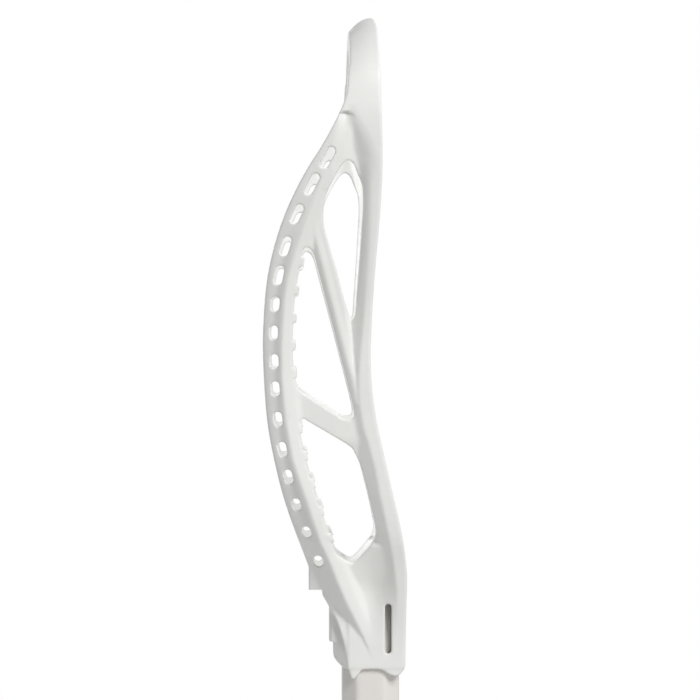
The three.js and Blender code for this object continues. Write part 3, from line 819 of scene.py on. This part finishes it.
def make_end_cap():
    """Rubber cup with ribs round its sleeve and a ring groove in its foot."""
    rings = [[(6.0 * math.cos(a), 6.0 * math.sin(a), 0.0) for a in section_angles()]]
    rings += [cap_ring(*step) for step in cap_profile()]
    rings.append(section_ring(CAP_TOP, CLEARANCE))
    rings.append(section_ring(CAP_FLOOR, CLEARANCE))
    rings.append(section_ring(CAP_FLOOR - 0.4, -0.4))
    return loft("rubber_end_cap", rings)


def pad_point(u, v, depth_share):
    """Point of the pad at u across and v along it, each from -1 to 1, down its thickness."""
    side = max(abs(u) ** 6, abs(v) ** 10)
    corner = 1 - 0.035 * (abs(u) * abs(v)) ** 8
    thick = STOP_PAD * (0.55 + 0.45 * (1 - side) ** 0.35)
    thick -= 0.12 * (1 + math.sin(9 * u + 5 * v) * math.sin(7 * v - 4 * u))
    seat = STOP_RADIUS - CLEARANCE
    angle = math.asin(STOP_PAD_HALF_WIDTH / seat) * u * corner
    reach = seat - thick * depth_share
    height = STOP_FLOOR + STOP_RADIUS + LIP - reach * math.cos(angle)
    return reach * math.sin(angle), STOP_PAD_MIDDLE + STOP_PAD_DEPTH / 2 * v * corner, height


def make_ball_stop():
    """Foam pad curved like the ball's seat, with a crowned top and pressed-down edges."""
    across, along = 36, 48
    columns = [2 * i / across - 1 for i in range(across + 1)]
    rows = [2 * j / along - 1 for j in range(along + 1)]
    spots = [(u, v) for u in columns for v in rows]
    top = [pad_point(u, v, 1.0) for u, v in spots]
    bottom = [pad_point(u, v, 0.0) for u, v in spots]
    stride = along + 1
    under = len(top)
    faces = []
    for i in range(across):
        for j in range(along):
            a, b = i * stride + j, (i + 1) * stride + j
            faces.append((a, b, b + 1, a + 1))
            faces.append((under + a + 1, under + b + 1, under + b, under + a))
    rim = [i * stride for i in range(across + 1)]
    rim += [across * stride + j for j in range(1, stride)]
    rim += [i * stride + along for i in range(across - 1, -1, -1)]
    rim += [j for j in range(along - 1, 0, -1)]
    for a, b in zip(rim, rim[1:] + rim[:1]):
        faces.append((a, b, under + b, under + a))
    return piece_from("foam_ball_stop", top + bottom, faces)


def screw_radius(z, angle):
    """Radius of the screw at a height above its head's seat, with a helical thread below."""
    head = [(0.0, 4.6), (1.05, 4.6), (1.6, 4.35), (2.1, 3.85), (2.45, 3.1), (SCREW_HEAD, 2.3)]
    if z >= 0:
        return float(np.interp(z, [p[0] for p in head], [p[1] for p in head]))
    if z > -0.35:
        return THREAD_CREST
    wave = abs(((z / THREAD_PITCH - angle / (2 * math.pi)) % 1.0) * 2 - 1)
    taper = min(1.0, (z + SCREW_LENGTH + 0.2) / 4.0)
    return (THREAD_CORE + (THREAD_CREST - THREAD_CORE) * max(0.0, 1.6 * wave - 0.6)) * taper


def screw_ring(z, seat, turns=40):
    """Ring of points round the screw, a distance z out from its head's seat."""
    ring = []
    for i in range(turns):
        angle = 2 * math.pi * i / turns
        radius = screw_radius(z, angle)
        height = LIP + SCREW_HEIGHT - radius * math.sin(angle)
        ring.append((radius * math.cos(angle), seat + z, height))
    return ring


def recess_arm(seat, upright):
    """One tapered bar of the cross recess, pressed into the screw's head."""
    arm = []
    for y, reach, width in ((seat + 1.3, 1.1, 0.35), (seat + 3.2, 2.5, 0.6)):
        corners = [(-reach, -width), (reach, -width), (reach, width), (-reach, width)]
        if upright:
            corners = [(b, a) for a, b in corners]
        arm.append([(x, y, LIP + SCREW_HEIGHT + z) for x, z in corners])
    return loft("recess_arm", arm)


def make_screw():
    """Pan-head screw lying along Y, threaded, with a tapered cross recess."""
    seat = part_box("head_screw")[1].y / MM - SCREW_HEAD
    heights = list(np.linspace(-SCREW_LENGTH, -0.4, 110)) + [-0.3, 0.0, 0.5]
    heights += [1.05, 1.3, 1.6, 1.9, 2.1, 2.3, 2.45, SCREW_HEAD]
    screw = loft("pan_head_screw", [screw_ring(z, seat) for z in heights])
    for upright in (False, True):
        cut(screw, recess_arm(seat, upright))
    return screw


# ---------------------------------------------------------------- materials

class Shading:
    """Small helper that wires a Principled material from object coordinates."""

    def __init__(self, name, metallic=0.0, coat=0.0, coat_roughness=0.1):
        self.material = bpy.data.materials.new(name)
        self.material.use_nodes = True
        self.nodes = self.material.node_tree.nodes
        self.links = self.material.node_tree.links
        self.shader = self.nodes["Principled BSDF"]
        self.shader.inputs["Metallic"].default_value = metallic
        self.shader.inputs["Coat Weight"].default_value = coat
        self.shader.inputs["Coat Roughness"].default_value = coat_roughness
        self.coordinates = self.nodes.new("ShaderNodeTexCoord").outputs["Object"]

    def noise(self, scale, detail=3.0, stretch=(1.0, 1.0, 1.0), roughness=0.55):
        """Noise in features per metre, stretched along an axis where it is below 1."""
        mapping = self.nodes.new("ShaderNodeMapping")
        mapping.inputs["Scale"].default_value = stretch
        self.links.new(self.coordinates, mapping.inputs["Vector"])
        node = self.nodes.new("ShaderNodeTexNoise")
        node.inputs["Scale"].default_value = scale
        node.inputs["Detail"].default_value = detail
        node.inputs["Roughness"].default_value = roughness
        self.links.new(mapping.outputs["Vector"], node.inputs["Vector"])
        return node.outputs["Fac"]

    def cells(self, scale):
        """Distance to the nearest cell centre of a Voronoi pattern."""
        node = self.nodes.new("ShaderNodeTexVoronoi")
        node.inputs["Scale"].default_value = scale
        self.links.new(self.coordinates, node.inputs["Vector"])
        return node.outputs["Distance"]

    def edges(self, low, high):
        """0 on flat ground, 1 on the sharp outer edges of the mesh."""
        return self.ramp(self.nodes.new("ShaderNodeNewGeometry").outputs["Pointiness"], low, high)

    def ramp(self, source, low, high, first=0.0, last=1.0):
        node = self.nodes.new("ShaderNodeMapRange")
        node.inputs["From Min"].default_value = low
        node.inputs["From Max"].default_value = high
        node.inputs["To Min"].default_value = first
        node.inputs["To Max"].default_value = last
        self.links.new(source, node.inputs["Value"])
        return node.outputs["Result"]

    def times(self, a, b):
        node = self.nodes.new("ShaderNodeMath")
        node.operation = "MULTIPLY"
        self.links.new(a, node.inputs[0])
        self.links.new(b, node.inputs[1])
        return node.outputs["Value"]

    def mix(self, factor, first, second):
        """Colour between two others, each a socket or an RGB triple."""
        node = self.nodes.new("ShaderNodeMix")
        node.data_type = "RGBA"
        self.links.new(factor, node.inputs["Factor"])
        for colour, socket in ((first, node.inputs["A"]), (second, node.inputs["B"])):
            if isinstance(colour, tuple):
                socket.default_value = (*colour, 1.0)
            else:
                self.links.new(colour, socket)
        return node.outputs["Result"]

    def colour(self, source):
        self.links.new(source, self.shader.inputs["Base Color"])

    def roughness(self, source):
        self.links.new(source, self.shader.inputs["Roughness"])

    def bumps(self, layers):
        """Adds up bump layers of (height socket, depth in metres, strength)."""
        normal = None
        for height, depth, strength in layers:
            node = self.nodes.new("ShaderNodeBump")
            node.inputs["Distance"].default_value = depth
            node.inputs["Strength"].default_value = strength
            self.links.new(height, node.inputs["Height"])
            if normal:
                self.links.new(normal, node.inputs["Normal"])
            normal = node.outputs["Normal"]
        self.links.new(normal, self.shader.inputs["Normal"])


def white_nylon():
    """Satin moulded nylon: faint mottling, a fine mould grain and rubbed edges."""
    look = Shading("white_nylon", coat=0.08, coat_roughness=0.35)
    mottle = look.noise(38.0, 4.0)
    tone = look.mix(look.ramp(mottle, 0.35, 0.68), (0.835, 0.83, 0.805), (0.865, 0.86, 0.838))
    scratches = look.ramp(look.noise(260.0, 6.0, (1.0, 1.0, 0.35)), 0.6, 0.72)
    scuff = look.times(scratches, look.ramp(mottle, 0.5, 0.62))
    tone = look.mix(look.ramp(scuff, 0.0, 1.0, 0.0, 0.35), tone, (0.74, 0.735, 0.71))
    tone = look.mix(look.ramp(look.edges(0.53, 0.6), 0.0, 1.0, 0.0, 0.3), tone, (0.9, 0.9, 0.885))
    look.colour(tone)
    look.roughness(look.ramp(look.noise(120.0, 5.0), 0.3, 0.7, 0.4, 0.56))
    look.bumps([
        (look.noise(2600.0, 2.0), 0.00006, 0.35),
        (look.noise(190.0, 3.0), 0.00012, 0.25),
        (scuff, 0.00005, 0.3),
    ])
    return look.material


def grey_foam():
    """Dark closed-cell foam with a skin of small pits."""
    look = Shading("grey_foam")
    pits = look.cells(780.0)
    fade = look.ramp(look.noise(160.0, 4.0), 0.3, 0.7)
    look.colour(look.mix(fade, (0.038, 0.039, 0.042), (0.07, 0.071, 0.075)))
    look.roughness(look.ramp(pits, 0.0, 0.8, 0.82, 0.98))
    look.bumps([(pits, 0.0004, 0.7), (look.noise(2200.0, 3.0), 0.0001, 0.4)])
    return look.material


def zinc_steel():
    """Zinc-plated steel, dulled, with a faint warm tint in places."""
    look = Shading("zinc_steel", metallic=1.0)
    tint = look.ramp(look.noise(420.0, 4.0), 0.4, 0.7)
    look.colour(look.mix(tint, (0.6, 0.61, 0.63), (0.64, 0.615, 0.55)))
    look.roughness(look.ramp(look.noise(900.0, 5.0, (1.0, 0.2, 1.0)), 0.3, 0.7, 0.26, 0.5))
    look.bumps([(look.noise(3200.0, 3.0, (1.0, 0.15, 1.0)), 0.00004, 0.4)])
    return look.material


def cream_enamel():
    """Off-white baked enamel: soft orange peel, hairline scratches and handling marks."""
    look = Shading("cream_enamel", coat=0.22, coat_roughness=0.18)
    patch = look.noise(16.0, 4.0, (1.0, 1.0, 0.5))
    tone = look.mix(look.ramp(patch, 0.35, 0.65), (0.775, 0.745, 0.708), (0.815, 0.785, 0.748))
    hairline = look.ramp(look.noise(1500.0, 2.0, (1.0, 1.0, 0.02)), 0.66, 0.72)
    worn = look.times(hairline, look.ramp(look.noise(30.0, 3.0), 0.48, 0.62))
    tone = look.mix(look.ramp(worn, 0.0, 1.0, 0.0, 0.4), tone, (0.66, 0.64, 0.61))
    speck = look.ramp(look.noise(620.0, 2.0), 0.74, 0.78, 0.0, 0.5)
    tone = look.mix(speck, tone, (0.5, 0.48, 0.45))
    look.colour(tone)
    look.roughness(look.ramp(look.noise(55.0, 6.0, (1.0, 1.0, 0.3)), 0.3, 0.7, 0.34, 0.52))
    look.bumps([(look.noise(520.0, 2.0), 0.00008, 0.22), (worn, 0.00004, 0.3)])
    return look.material


def black_rubber():
    """Matt moulded rubber with a dusty bloom and a fine grain."""
    look = Shading("black_rubber")
    bloom = look.ramp(look.noise(70.0, 6.0), 0.4, 0.75)
    tone = look.mix(bloom, (0.022, 0.022, 0.024), (0.05, 0.049, 0.047))
    tone = look.mix(look.ramp(look.edges(0.53, 0.62), 0.0, 1.0, 0.0, 0.5), tone, (0.085, 0.084, 0.082))
    look.colour(tone)
    look.roughness(look.ramp(look.noise(300.0, 5.0), 0.3, 0.7, 0.7, 0.92))
    look.bumps([(look.noise(1800.0, 3.0), 0.0001, 0.4), (look.noise(120.0, 2.0), 0.0003, 0.15)])
    return look.material


def add_piece(piece, node, material):
    """Gives a piece its material, hangs it under the root body and hides the CAD node it stands for."""
    piece.data.materials.clear()
    piece.data.materials.append(material)
    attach(piece, "root")
    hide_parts(node)
    return piece


add_camera()
add_lights()
add_world()
add_floor()
bpy.context.scene.view_settings.view_transform = "Standard"

add_piece(make_head(), "head", white_nylon())
ball_stop = add_piece(make_ball_stop(), "ball_stop", grey_foam())
add_piece(make_screw(), "head_screw", zinc_steel())
add_piece(make_shaft(), "shaft", cream_enamel())
add_piece(make_end_cap(), "end_cap", black_rubber())
